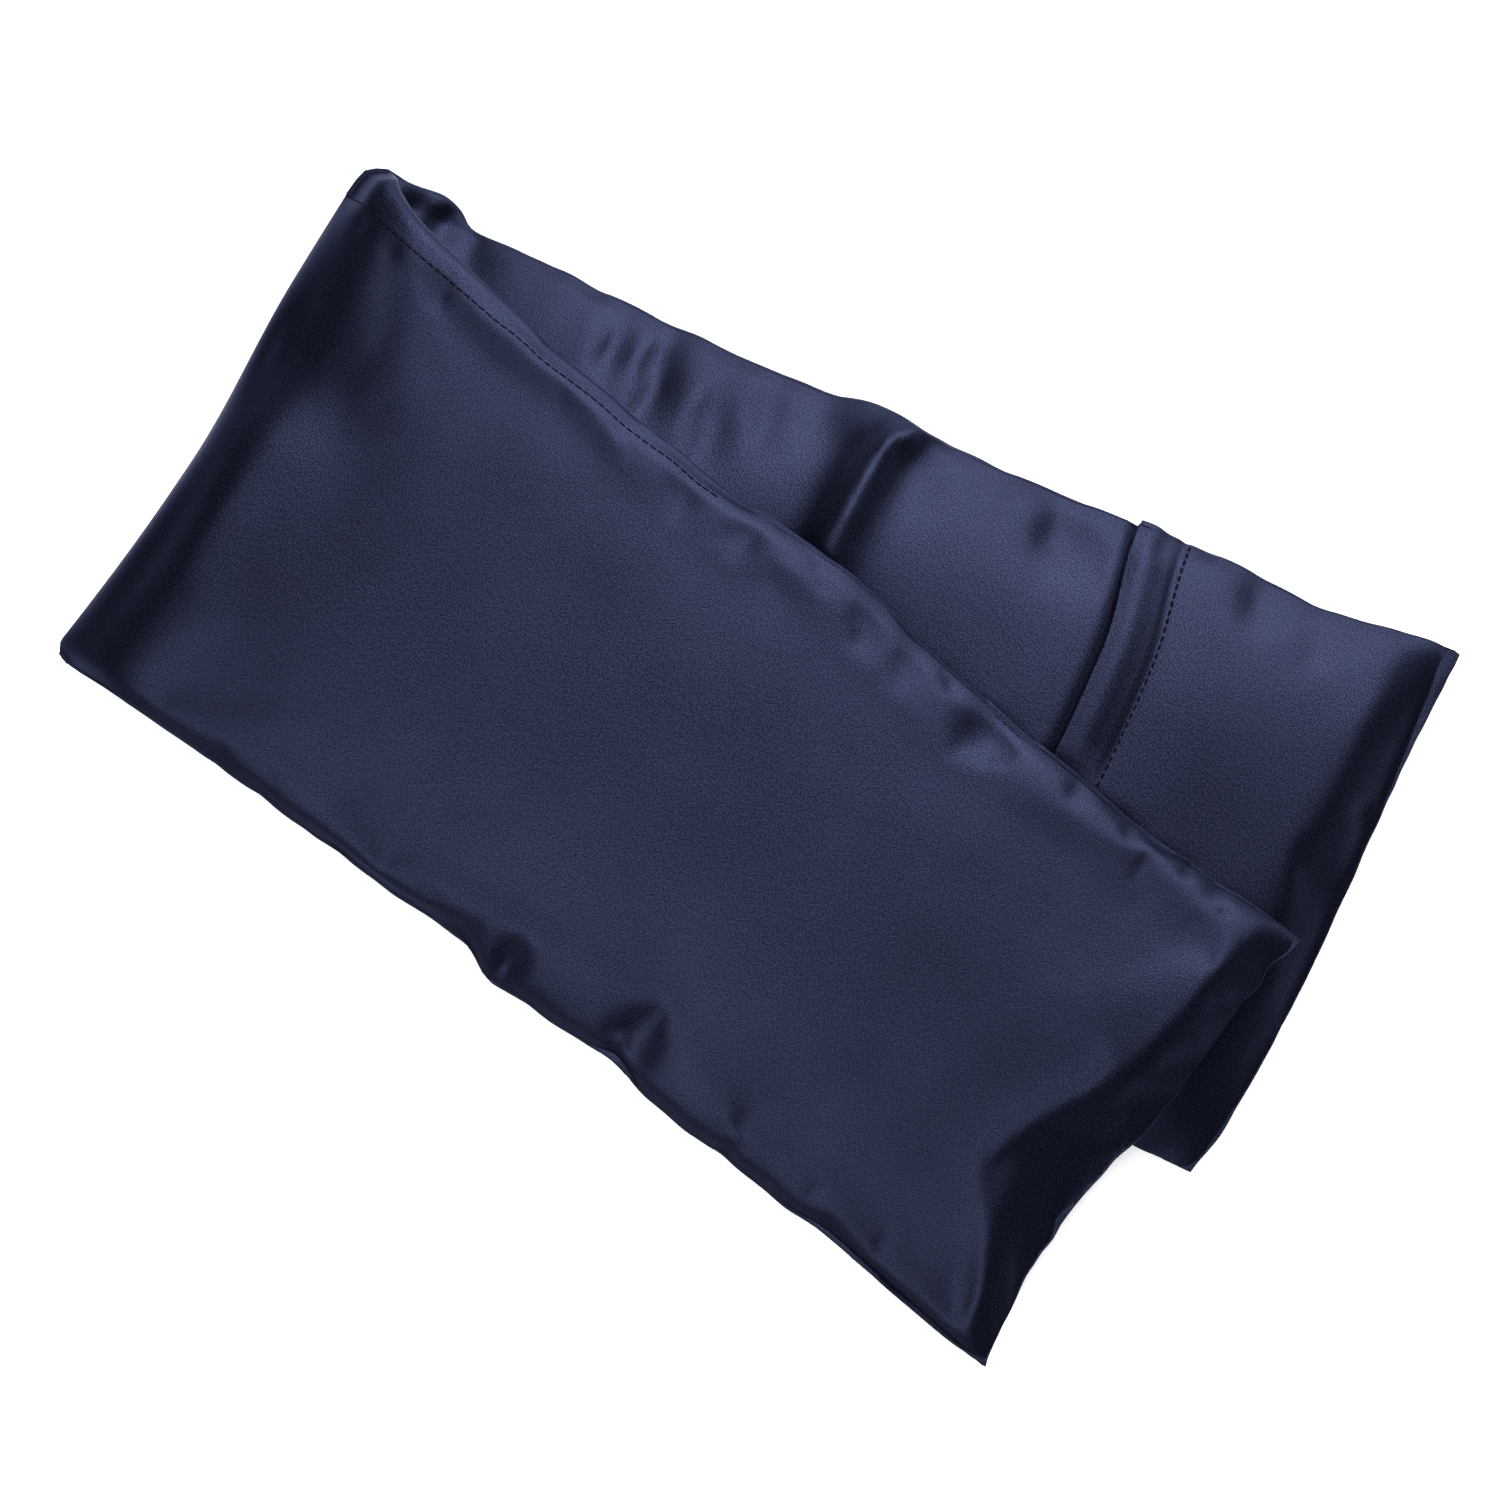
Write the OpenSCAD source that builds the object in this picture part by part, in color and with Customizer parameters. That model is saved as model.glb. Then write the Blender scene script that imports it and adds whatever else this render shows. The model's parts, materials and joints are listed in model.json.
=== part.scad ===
// Long satin eye pillow, folded in half: two filled leaves hinged along the fold line.
// The lower leaf lies on the floor plane z = 0 and the upper leaf is its mirror image above it.

/* [Strip] */
// Width of the pillow strip
strip_w = 152; // [120:1:180]
// Length of each leaf from the fold line to its closed end
leaf_l = 318; // [280:1:360]
// Thickness of each filled leaf
leaf_t = 20; // [18:1:26]
// Angle between each leaf and the line square to the fold
skew = 7; // [0:1:10]
// Free height between the two leaves
leaf_gap = 0.8; // [0.6:0.1:2]

/* [Edges] */
// Width over which a leaf thins towards its side seams
side_taper = 34; // [26:1:40]
// Length over which a leaf thins towards its closed end
end_taper = 30; // [24:1:40]
// Radius of the rounded fold end
fold_r = 20; // [16:1:26]

/* [Envelope opening] */
// Distance from the closed end to the open edge of the flap
flap_l = 82; // [76:1:110]
// Width of the turned hem on the flap
hem_w = 13; // [8:1:16]
// How far the long back panel runs in under the flap
underlap = 46; // [36:1:52]

/* [Cloth and thread] */
// Thickness of the satin cloth
cloth = 0.6; // [0.4:0.1:0.7]
// Thickness of a turned hem
hem_t = 0.5; // [0.3:0.1:0.6]
// Spacing of the hem and channel stitches
stitch_pitch = 2.5; // [2:0.25:4]
// Diameter of the seam thread
thread_d = 0.7; // [0.4:0.1:0.9]

/* [Inner bag] */
// Space between the closed ends of two neighbouring chambers
channel_w = 8; // [6:1:14]

/* [Hidden] */

half_w = strip_w / 2;
mid_z = leaf_t / 2;
interface_z = leaf_t + leaf_gap / 2;
fold_gap = 0.4;                                     // clearance of each fold end from the hinge
reach_x = leaf_l * cos(skew) + half_w * sin(skew);  // furthest corner from the fold line
shift_x = -(fold_gap + reach_x) / 2;                // puts the origin under the box's middle
taper_power = 0.7;
taper_steps = 8;
far = 3 * leaf_l;                                   // longer than any cut that has to pass through
slack = 0.1;                                        // clearance between stacked layers

// Depth below the outer surface at which each layer starts.
d_flap_hem = cloth;
d_underlap = d_flap_hem + hem_t + slack;
d_long_hem = d_underlap + cloth;
d_bag = d_long_hem + hem_t + 0.3;
d_fill = d_bag + cloth + slack;
// How far each layer's seam edge lies inside the outer seam.
seam_in = 2;                                        // from a layer's outer seam edge to its inner one
e_thread = seam_in + 0.6;                           // seam threads lie just inside the cover's edge
e_hem = e_thread + thread_d;
e_underlap = e_hem + seam_in + 0.2;
e_bag = e_underlap + 2 * seam_in + 0.3;
e_bag_in = e_bag + seam_in;
e_fill = e_bag_in + 1.2;
thread_start_s = fold_r + half_w * tan(skew);       // past the rounded fold end on both sides

opening_s = leaf_l - flap_l;
step_s = opening_s - 0.3;
underlap_end_s = opening_s + underlap;
channel_s = leaf_l / 2;

satin = "#2b304e";
satin_dark = "#22273f";
thread_blue = "#14182c";
cotton = "#d9d2c0";
cotton_thread = "#efe9da";
flax = "#8a5a2c";

// Half thickness of a layer at a share u (0 to 1) of the way across a taper.
function taper_z(u, depth) = (mid_z - depth) * pow(cos(90 * u), taper_power);

// Points of one taper, from full thickness at `from` to the seam at `to`, on side `sign` of mid_z.
function taper_points(from, to, depth, sign) = [
    for (i = [0 : taper_steps])
        let (u = i / taper_steps)
        [from + (to - from) * u, mid_z + sign * taper_z(u, depth)]
];

function reversed(list) = [for (i = [len(list) - 1 : -1 : 0]) list[i]];

// Cross-section of a layer, looking along the strip.
module cross_outline(depth, edge) {
    w = half_w - edge;
    flat = half_w - side_taper;
    polygon(concat(
        taper_points(flat, w, depth, 1),
        reversed(taper_points(flat, w, depth, -1)),
        taper_points(-flat, -w, depth, -1),
        reversed(taper_points(-flat, -w, depth, 1))
    ));
}

// Side view of a layer between two tapered ends.
module chamber_outline(s0, s1, depth) {
    polygon(concat(
        reversed(taper_points(s0 + end_taper, s0, depth, -1)),
        taper_points(s1 - end_taper, s1, depth, -1),
        reversed(taper_points(s1 - end_taper, s1, depth, 1)),
        taper_points(s0 + end_taper, s0, depth, 1)
    ));
}

// Side view of a layer with a rounded fold end: a quarter ellipse from the tip down to the floor.
module fold_outline(depth, edge) {
    tip_x = fold_gap + edge / 2;
    arc = 90;
    polygon(concat(
        [for (i = [0 : taper_steps * 2])
            let (a = arc * i / (taper_steps * 2))
            [fold_r - (fold_r - tip_x - depth) * cos(a), leaf_t - (leaf_t - depth) * sin(a)]],
        [[far, depth], [far, leaf_t - depth], [fold_r, leaf_t - depth], [tip_x + depth, leaf_t - depth]]
    ));
}

// Extrudes an outline drawn in (x, z) across the strip.
module across() {
    translate([0, far / 2, 0]) rotate([90, 0, 0]) linear_extrude(far) children();
}

module along_strip() {
    rotate([0, 0, skew]) children();
}

// The strip's cross-section run through between s0 and s1.
module strip_run(s0, s1, depth, edge) {
    along_strip()
        translate([s0, 0, 0])
        rotate([90, 0, 90])
        linear_extrude(s1 - s0) cross_outline(depth, edge);
}

// A whole leaf's volume at a given depth and seam inset.
module leaf_volume(depth, edge) {
    intersection() {
        strip_run(-half_w, leaf_l, depth, edge);
        across() fold_outline(depth, edge);
        along_strip() across()
            chamber_outline(-leaf_l, leaf_l - edge, depth);
    }
}

// Everything on the back panel's side of the seam surface, which climbs to the tip at the fold.
module back_side() {
    across() polygon([
        [-fold_r, leaf_t - 0.01], [fold_gap + 1, leaf_t - 0.01], [fold_r * 0.35, leaf_t * 0.72],
        [fold_r + 6, mid_z], [far, mid_z], [far, 2 * leaf_t], [-fold_r, 2 * leaf_t]
    ]);
}

// Everything between two stations of the strip.
module slab(s0, s1) {
    along_strip() translate([s0, -far / 2, -leaf_t]) cube([s1 - s0, far, 3 * leaf_t]);
}

module layer(depth, thick, edge) {
    difference() {
        leaf_volume(depth, edge);
        leaf_volume(depth + thick, edge + seam_in);
    }
}

module front_panel() {
    difference() {
        layer(0, cloth, 0);
        back_side();
    }
}

module back_layer(depth, thick, edge, s0, s1) {
    intersection() {
        layer(depth, thick, edge);
        back_side();
        slab(s0, s1);
    }
}

// A thread along one side seam, inside the cover's edge.
module side_thread(side, edge, s0, s1, d) {
    along_strip()
        translate([s0, side * (half_w - edge), mid_z])
        rotate([0, 90, 0]) cylinder(h = s1 - s0, d = d, $fn = 24);
}

// A thread across the strip at one station.
module cross_thread(s, edge, d) {
    along_strip()
        translate([s, half_w - edge, mid_z])
        rotate([90, 0, 0]) cylinder(h = strip_w - 2 * edge, d = d, $fn = 24);
}

module cover_side_threads() {
    for (side = [-1, 1])
        side_thread(side, e_thread, thread_start_s, leaf_l - e_thread - thread_d, thread_d);
}

module cover_end_thread() {
    cross_thread(leaf_l - e_thread, e_thread + thread_d, thread_d);
}

// The two chambers of the inner bag, at a given depth and seam inset.
module bag_volume(depth, edge) {
    fold_chamber(depth, edge);
    end_chamber(depth, edge);
}

module fold_chamber(depth, edge) {
    intersection() {
        strip_run(-half_w, channel_s, depth, edge);
        across() fold_outline(depth, edge);
        along_strip() across()
            chamber_outline(-leaf_l, channel_s - channel_w / 2 - edge + e_bag, depth);
    }
}

module end_chamber(depth, edge) {
    intersection() {
        strip_run(channel_s, leaf_l, depth, edge);
        along_strip() across()
            chamber_outline(channel_s + channel_w / 2 + edge - e_bag, leaf_l - edge, depth);
    }
}

module above_mid(sign) {
    translate([-far / 2, -far / 2, mid_z + (sign > 0 ? 0 : -leaf_t)]) cube([far, far, leaf_t]);
}

// One sheet of the inner bag, with the flat web that joins its two chambers.
module bag_sheet(sign) {
    web_w = strip_w - 2 * e_bag - 2;
    difference() {
        intersection() {
            union() {
                bag_volume(d_bag, e_bag);
                along_strip()
                    translate([channel_s - channel_w / 2 - 3, -web_w / 2, mid_z - cloth])
                    cube([channel_w + 6, web_w, 2 * cloth]);
            }
            above_mid(sign);
        }
        bag_volume(d_bag + cloth, e_bag_in);
    }
}

module bag_seam_threads() {
    inset = e_bag_in + 0.5;
    d = thread_d * 0.6;
    for (side = [-1, 1]) {
        side_thread(side, inset, thread_start_s + e_bag, channel_s - channel_w - seam_in, d);
        side_thread(side, inset, channel_s + channel_w + seam_in, leaf_l - inset - seam_in, d);
    }
}

// Stitches that join the bag's two sheets, as they show on the web between the chambers.
module channel_stitches() {
    count = floor((strip_w - 2 * e_bag - 8) / stitch_pitch / 2);
    for (i = [-count / 2 : count / 2])
        along_strip()
            translate([channel_s, i * 2 * stitch_pitch, mid_z + cloth + 0.15])
            cube([0.5, 0.7 * stitch_pitch, 0.3], center = true);
}

module fill(end_side) {
    if (end_side)
        end_chamber(d_fill, e_fill);
    else
        fold_chamber(d_fill, e_fill);
}

// Short dashes of thread on the flap's flat top, just inside the hem's inner edge.
module hem_stitches() {
    dash_l = 0.65 * stitch_pitch;
    dash_w = 0.5;
    dash_t = 0.2;
    stitch_s = opening_s + hem_w - 1.5;
    flat = half_w - side_taper;
    count = floor((flat - dash_l) / stitch_pitch);
    for (i = [-count : count])
        along_strip()
            translate([stitch_s - dash_w / 2, i * stitch_pitch - dash_l / 2, leaf_t + 0.02])
            cube([dash_w, dash_l, dash_t]);
}

// The long back panel: full surface up to the opening, a step down, then the hidden underlap.
module long_panel() {
    step_w = 2.5;
    back_layer(0, cloth, 0, -half_w, step_s - step_w);
    intersection() {
        difference() {
            leaf_volume(0, 0);
            leaf_volume(d_underlap + cloth, seam_in);
        }
        back_side();
        slab(step_s - step_w, step_s);
    }
    back_layer(d_underlap, cloth, e_underlap, step_s - step_w, underlap_end_s);
}

module placed_lower() {
    translate([shift_x, 0, 0]) children();
}

module placed_upper() {
    translate([shift_x, 0, 2 * interface_z]) mirror([0, 0, 1]) mirror([0, 1, 0]) children();
}

module front_panel_lower() { color(satin) placed_lower() front_panel(); }
module back_panel_long() { color(satin) placed_lower() long_panel(); }
module back_panel_flap() {
    color(satin) placed_lower() back_layer(0, cloth, 0, opening_s, leaf_l);
}
module flap_hem() {
    color(satin_dark) placed_lower()
        back_layer(d_flap_hem, hem_t, e_hem, opening_s, opening_s + hem_w);
}
module flap_hem_stitches() { color(thread_blue) placed_lower() hem_stitches(); }
module long_panel_hem() {
    color(satin_dark) placed_lower()
        back_layer(d_long_hem, hem_t, e_underlap + seam_in, underlap_end_s - hem_w,
                   underlap_end_s);
}
module side_seam_threads_lower() { color(thread_blue) placed_lower() cover_side_threads(); }
module end_seam_thread_lower() { color(thread_blue) placed_lower() cover_end_thread(); }
module inner_bag_front_lower() { color(cotton) placed_lower() bag_sheet(-1); }
module inner_bag_back_lower() { color(cotton) placed_lower() bag_sheet(1); }
module inner_bag_seam_threads_lower() { color(cotton_thread) placed_lower() bag_seam_threads(); }
module channel_stitches_lower() { color(cotton_thread) placed_lower() channel_stitches(); }
module flax_fill_lower_fold_side() { color(flax) placed_lower() fill(false); }
module flax_fill_lower_end_side() { color(flax) placed_lower() fill(true); }

// The cloth that bridges the fold line and acts as the hinge.
module fold_crease_cloth() {
    web_l = strip_w - 2 * side_taper;
    web_x = 6;
    color(satin_dark) placed_lower()
        translate([fold_gap, -web_l / 2, leaf_t]) cube([web_x, web_l, leaf_gap - 0.2]);
}

module front_panel_upper() { color(satin) placed_upper() front_panel(); }
module back_panel_upper() {
    color(satin) placed_upper() back_layer(0, cloth, 0, -half_w, leaf_l);
}
module side_seam_threads_upper() { color(thread_blue) placed_upper() cover_side_threads(); }
module end_seam_thread_upper() { color(thread_blue) placed_upper() cover_end_thread(); }
module inner_bag_front_upper() { color(cotton) placed_upper() bag_sheet(-1); }
module inner_bag_back_upper() { color(cotton) placed_upper() bag_sheet(1); }
module inner_bag_seam_threads_upper() { color(cotton_thread) placed_upper() bag_seam_threads(); }
module channel_stitches_upper() { color(cotton_thread) placed_upper() channel_stitches(); }
module flax_fill_upper_fold_side() { color(flax) placed_upper() fill(false); }
module flax_fill_upper_end_side() { color(flax) placed_upper() fill(true); }

front_panel_lower();
back_panel_long();
back_panel_flap();
flap_hem();
flap_hem_stitches();
long_panel_hem();
side_seam_threads_lower();
end_seam_thread_lower();
inner_bag_front_lower();
inner_bag_back_lower();
inner_bag_seam_threads_lower();
channel_stitches_lower();
flax_fill_lower_fold_side();
flax_fill_lower_end_side();
fold_crease_cloth();
front_panel_upper();
back_panel_upper();
side_seam_threads_upper();
end_seam_thread_upper();
inner_bag_front_upper();
inner_bag_back_upper();
inner_bag_seam_threads_upper();
channel_stitches_upper();
flax_fill_upper_fold_side();
flax_fill_upper_end_side();
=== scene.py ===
"""Folded satin eye pillow: a long strip with an envelope closure, folded in half on an oblique line.

Every shape is worked out in millimetres in the fold frame: X runs from the fold line (the hinge) to the
closed ends, Y along the fold and Z up from the floor. place() turns it into the shared frame, in metres.
On a leaf, `reach` is the distance from the fold along the strip, w the distance from the strip's middle
line, and v the same as a share of the half width, from -1 to 1.
"""

import json
import math

import bpy
import numpy as np
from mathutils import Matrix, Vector, noise


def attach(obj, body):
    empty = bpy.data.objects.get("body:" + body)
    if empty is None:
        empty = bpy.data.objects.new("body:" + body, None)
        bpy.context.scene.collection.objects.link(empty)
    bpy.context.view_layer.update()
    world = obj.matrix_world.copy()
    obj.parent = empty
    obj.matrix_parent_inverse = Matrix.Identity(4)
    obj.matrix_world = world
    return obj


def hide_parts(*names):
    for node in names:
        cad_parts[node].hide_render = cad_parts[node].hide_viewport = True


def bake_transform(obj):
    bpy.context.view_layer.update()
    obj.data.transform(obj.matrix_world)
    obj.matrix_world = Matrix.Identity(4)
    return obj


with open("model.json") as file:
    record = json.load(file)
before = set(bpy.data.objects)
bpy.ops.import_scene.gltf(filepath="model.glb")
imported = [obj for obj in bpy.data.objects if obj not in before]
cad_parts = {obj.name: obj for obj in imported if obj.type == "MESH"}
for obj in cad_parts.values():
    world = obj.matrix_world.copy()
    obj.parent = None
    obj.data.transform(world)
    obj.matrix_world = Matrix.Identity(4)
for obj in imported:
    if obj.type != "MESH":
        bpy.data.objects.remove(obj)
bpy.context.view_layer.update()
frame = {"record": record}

# ---------------------------------------------------------------- dimensions, in millimetres
MM = 0.001
JOINT = frame["record"]["behaviour"]["joints"][0]
HINGE = np.array(JOINT["pos_m"]) / MM
FOLD_Z = HINGE[2]

SKEW = math.radians(7.0)  # each leaf turns this far from square to the fold
HALF_W = 75.5  # half the width of the strip at the fold
FOLD_R = 21.0  # radius of the rounded fold end
TIP_R = 5.2  # radius of the two tips of the fold, seen from above
FOLD_BOW, BOW_FADE = 4.5, 30.0  # how far the fold edge bows in between its tips, and how soon that fades
SEAM_RISE = 30.0  # length over which the seam climbs from mid thickness to the fold line
LEAF_T = FOLD_Z - 0.35  # thickness of a leaf, leaving a hair of room below the one above
MID_Z = LEAF_T / 2
CLOTH, COTTON = 0.35, 0.18  # thickness of the satin and of the inner bag's cloth

UPPER_EDGE = 66.0  # the upper leaf's +w edge, from its middle line
SUPPORT_EDGE = 70.0  # the lower leaf's -w edge, which holds the upper one up, from its middle line
HEADROOM = 6.2  # how far the lower leaf may swell beside the upper one
CLEARANCE = 0.1  # how far it may swell below it
DRAPE, DRAPE_REACH = 0.62, 170.0  # the upper leaf's greatest sag, in leaf thicknesses, and its reach

HEM_W = 13.5  # from the flap's edge to its stitches
UNDERLAP = 46.0  # how far the long back panel runs on under the flap
STITCH_PITCH = 2.5

# Rows run along the strip, from the fold to the closed end, and columns across it.
ROWS_FOLD, ROWS_LEAF, COLUMNS = 11, 88, 36
WRAP = 5  # columns more on each side of the back skin, round the side edge
ROWS = ROWS_FOLD + ROWS_LEAF
BAND_ROWS = 3  # rows of each leaf that belong to the cloth round the fold
FRONT, BACK = 1, -1


# ---------------------------------------------------------------- small maths
def smooth(a, b, x):
    t = min(max((x - a) / (b - a), 0.0), 1.0)
    return t * t * (3 - 2 * t)


def smooth_array(a, b, x):
    t = np.clip((x - a) / (b - a), 0, 1)
    return t * t * (3 - 2 * t)


def bump(x, centre, width):
    return math.exp(-(((x - centre) / width) ** 2))


def through(points, x):
    """Curve through a few (x, y) points: monotone between them, with no corner at them."""
    if x <= points[0][0]:
        return points[0][1]
    if x >= points[-1][0]:
        return points[-1][1]
    k = next(k for k in range(len(points) - 1) if x <= points[k + 1][0])
    (x0, y0), (x1, y1) = points[k], points[k + 1]

    def slope(n):
        if n <= 0 or n >= len(points) - 1:
            return 0.0
        (xa, ya), (xb, yb), (xc, yc) = points[n - 1:n + 2]
        before, after = (yb - ya) / (xb - xa), (yc - yb) / (xc - xb)
        return 0.0 if before * after <= 0 else 2 * before * after / (before + after)

    span = x1 - x0
    t = (x - x0) / span
    h00, h10 = (1 + 2 * t) * (1 - t) ** 2, t * (1 - t) ** 2
    return h00 * y0 + h10 * span * slope(k) + (1 - h00) * y1 + t * t * (t - 1) * span * slope(k + 1)


def lumps(x, y, seed, scale):
    return noise.noise(Vector((x / scale, y / scale, seed)))


# ---------------------------------------------------------------- outlines of the two leaves
EDGE_CROWDING = 0.35  # how much closer the columns lie towards the side edges
END_CROWDING = 0.10  # how much closer the rows lie towards the closed end
SIDE_POWER = 3.0  # how flat a leaf is across its middle
SEAM_RIPPLE, RIPPLE_LENGTH = 0.7, 11.0
NICK_LENGTH, NICK_DEPTH = 6.5, 6.0  # length of an end pucker along the seam, and how far in it reaches
END_ZONE = 80.0  # length of leaf over which the closed end's outline takes hold


class Leaf:
    """One half of the pillow. Each list gives a measure against reach, but `end` against w and `taper`
    against v. seam and roll have one for each side, 1 and -1.

    seam: the side seam's w; roll: how far the back panel rolls out past it; rounding: how soon the leaf
    fills out from its side seams, less being sooner; end: how far the closed end falls short of the length;
    taper: length of the slope down to the closed end; rim: width of the flat edge outside that slope;
    nicks: depth of the puckers in the end seam; mirrored: True for the leaf that lies on top.
    """

    def __init__(self, name, skew, length, seam, roll, rounding, end, taper, rim, nicks, mirrored, seed):
        self.name, self.skew, self.length, self.mirrored, self.seed = name, skew, length, mirrored, seed
        self.seam, self.roll, self.rounding = seam, roll, rounding
        self.end, self.taper, self.rim, self.nicks = end, taper, rim, nicks
        self.body = f"{name}_leaf"

    def seam_w(self, reach, side):
        """Distance of the side seam from the strip's middle line."""
        ripple = SEAM_RIPPLE * noise.noise(Vector((reach / RIPPLE_LENGTH, side * 3.0, self.seed)))
        return through(self.seam[side], reach) + ripple * smooth(20, 70, reach)

    def roll_size(self, reach, side):
        """How far the back panel rolls out past the seam, and how far the roll reaches to front and back."""
        roll = through(self.roll[side], reach) * smooth(0, 12, self.length - reach)
        return roll, 0.9 * roll * smooth(0, 9, reach), min(0.6 * roll, 0.9 * (FOLD_Z - seam_z(reach)))

    def to_fold_frame(self, reach, w):
        """(reach, w) on the strip to (X, Y). Rows turn from the fold line to square with the strip."""
        s = reach + w * math.tan(self.skew) * (1 - min(reach / self.length, 1.0))
        x = s * math.cos(self.skew) - w * math.sin(self.skew)
        y = s * math.sin(self.skew) + w * math.cos(self.skew)
        return x, y

    def row_reach(self, i):
        """Distance from the fold of row i: even angles round the fold end, then nearly even steps."""
        if i <= ROWS_FOLD:
            return FOLD_R * (1 - math.cos(math.pi / 2 * i / ROWS_FOLD))
        t = (i - ROWS_FOLD) / ROWS_LEAF
        return FOLD_R + (self.length - FOLD_R) * (t + END_CROWDING * math.sin(math.pi * t) * t)

    def fullness(self, reach, v):
        """Share of full thickness (0 to 1) at a place on the leaf; v runs from -1 to 1 across it."""
        across = max(1 - abs(v) ** SIDE_POWER, 0.0) ** self.rounding
        taper = through(self.taper, v)
        to_end = min(max((self.length - self.rim - reach) / (taper - self.rim), 0.0), 1.0)
        along = to_end * (1.25 - 0.25 * to_end ** 4)
        return across * along


LOWER = Leaf(
    "lower", SKEW, 327.0,
    seam={1: [(0, 67), (10, 70), (20, 72.5), (35, 72), (50, 73), (80, 72.3), (115, 72.5), (138, 73),
              (155, 76), (172, 74.3), (190, 74.3), (232, 76), (262, 77.3), (285, 76.5), (327, 81)],
          -1: [(0, 75.5), (60, 72), (140, 70), (220, 71), (290, 72), (324, 73)]},
    roll={1: [(0, 10.8), (10, 7.8), (20, 6.5), (26, 4.8), (33, 1.8), (50, 1.2), (327, 0.8)],
          -1: [(0, 0.8), (327, 0.8)]},
    rounding=0.72,
    end=[(-76, 8), (-60, 4.8), (-30, 2.2), (0, 1.2), (40, 1.3), (60, 1), (80, 0)],
    taper=[(-1, 19), (0, 17), (1, 17)], rim=1.8, nicks=0.3,
    mirrored=False, seed=1.7,
)
UPPER = Leaf(
    "upper", -SKEW, 316.0,
    seam={1: [(0, 67), (26, 65), (80, 64.2), (122, 64.8), (163, 69.5), (206, 66), (262, 65.5), (316, 69)],
          -1: [(0, 75.5), (20, 73.4), (50, 71), (95, 68.8), (137, 66.4), (149, 69.7), (166, 68.2),
               (187, 65.8), (202, 67.6), (222, 67.3), (245, 66.8), (265, 65.8), (290, 66), (316, 66.5)]},
    roll={1: [(0, 10.8), (26, 6.5), (61, 4.1), (85, 3.0), (122, 2.3), (150, 1.4), (185, 0.9), (316, 0.8)],
          -1: [(0, 0.8), (316, 0.8)]},
    rounding=0.6,
    end=[(-68, 0), (-58, 3), (-50, 4.5), (-40, 6.4), (-12, 8.3), (0, 7), (12, 6.2), (30, 6.6), (48, 7.8),
         (58, 7.8), (68, 7)],
    taper=[(-1, 9), (-0.8, 11), (-0.6, 18), (-0.38, 33), (-0.1, 26), (0.3, 16), (1, 11)], rim=0.0, nicks=1.0,
    mirrored=True, seed=8.3,
)
OPENING = [(0, 239.0), (9, 239.5), (40, 238.5), (76, 233.0)]  # the flap's edge along the strip, against w


def seam_z(reach):
    """Height of the side seams before the upper leaf is turned over."""
    return MID_Z + (FOLD_Z - MID_Z) * (1 - smooth(0, SEAM_RISE, reach)) ** 1.5


def outer_z(i):
    """Height of row i on the front skin at full thickness, with the fold end's quarter circle."""
    if i <= ROWS_FOLD:
        return FOLD_Z - FOLD_Z * math.sin(math.pi / 2 * i / ROWS_FOLD)
    return 0.0


def recess(w, reach):
    """The fold edge bows in between its two rounded tips, most on the -w half."""
    corner = max(abs(w) - (HALF_W + 1 - TIP_R), 0)
    rounded = TIP_R - math.sqrt(max(TIP_R ** 2 - corner ** 2, 0))
    bow = FOLD_BOW * max(1 - (w / HALF_W) ** 2, 0) * (1 - 0.75 * smooth(-15, 40, w))
    return (bow + rounded) * math.exp(-reach / BOW_FADE)


def inside_lower_edge(x, y):
    """Distance inside the lower leaf's -w side, for a point of the fold frame."""
    return -x * math.sin(SKEW) + y * math.cos(SKEW) + SUPPORT_EDGE


def past_upper_edge(x, y):
    """Distance outside the upper leaf's +w side, for a point of the fold frame."""
    return x * math.sin(SKEW) + y * math.cos(SKEW) - UPPER_EDGE


def beyond_upper(x, y):
    """1 where the upper leaf doesn't lie over a point of the lower one, 0 where it does."""
    return smooth(0, 14, past_upper_edge(x, y))


def headroom(x, y):
    """How far the lower leaf's top may rise above its own thickness: only beside the upper leaf."""
    return HEADROOM * smooth(-8, 10, past_upper_edge(x, y))


def drape(x, y, reach):
    """How far the upper leaf sinks where the lower one no longer holds it up."""
    held = smooth(-60, 34, inside_lower_edge(x, y))
    return DRAPE * FOLD_Z * (1 - held) * smooth(0, DRAPE_REACH, reach)


def skin_point(leaf, i, reach, w, v, lift, share):
    """One point of a leaf. lift moves it off the seam towards the back; share is 1 on the front skin,
    0 on the back one and between them on the roll of the side edge."""
    pull = through(leaf.end, w) * smooth(leaf.length - END_ZONE, leaf.length, reach)
    at_end = smooth(leaf.length - NICK_DEPTH, leaf.length, reach)
    pull += leaf.nicks * lumps(w, 0, leaf.seed, NICK_LENGTH) * at_end
    x, y = leaf.to_fold_frame(reach - pull, w)
    x += recess(w, reach)
    edge, full = seam_z(reach), leaf.fullness(reach, v)
    face = outer_z(i) if share == 1 else LEAF_T
    z = edge + lift + (face - edge - lift) * full
    return sculpt(leaf, share, reach, w, x, y, z)


def leaf_surface(leaf, skin):
    """Grid of points of one skin of a leaf. The back skin wraps round both side edges to the seams."""
    rows = []
    for i in range(ROWS + 1):
        reach = leaf.row_reach(i)
        row = []
        for j in range(COLUMNS + 1):
            v = column_share(j)
            side = 1 if v > 0 else -1
            roll, to_front, to_back = leaf.roll_size(reach, side)
            lift = (to_back if skin == BACK else -to_front) * abs(v) ** 6
            w = v * leaf.seam_w(reach, side)
            row.append(skin_point(leaf, i, reach, w, v, lift, 1 if skin == FRONT else 0))
        if skin == BACK:
            row = wrap(leaf, i, reach, -1)[::-1] + row + wrap(leaf, i, reach, 1)
        rows.append(row)
    return np.array(rows)


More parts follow.
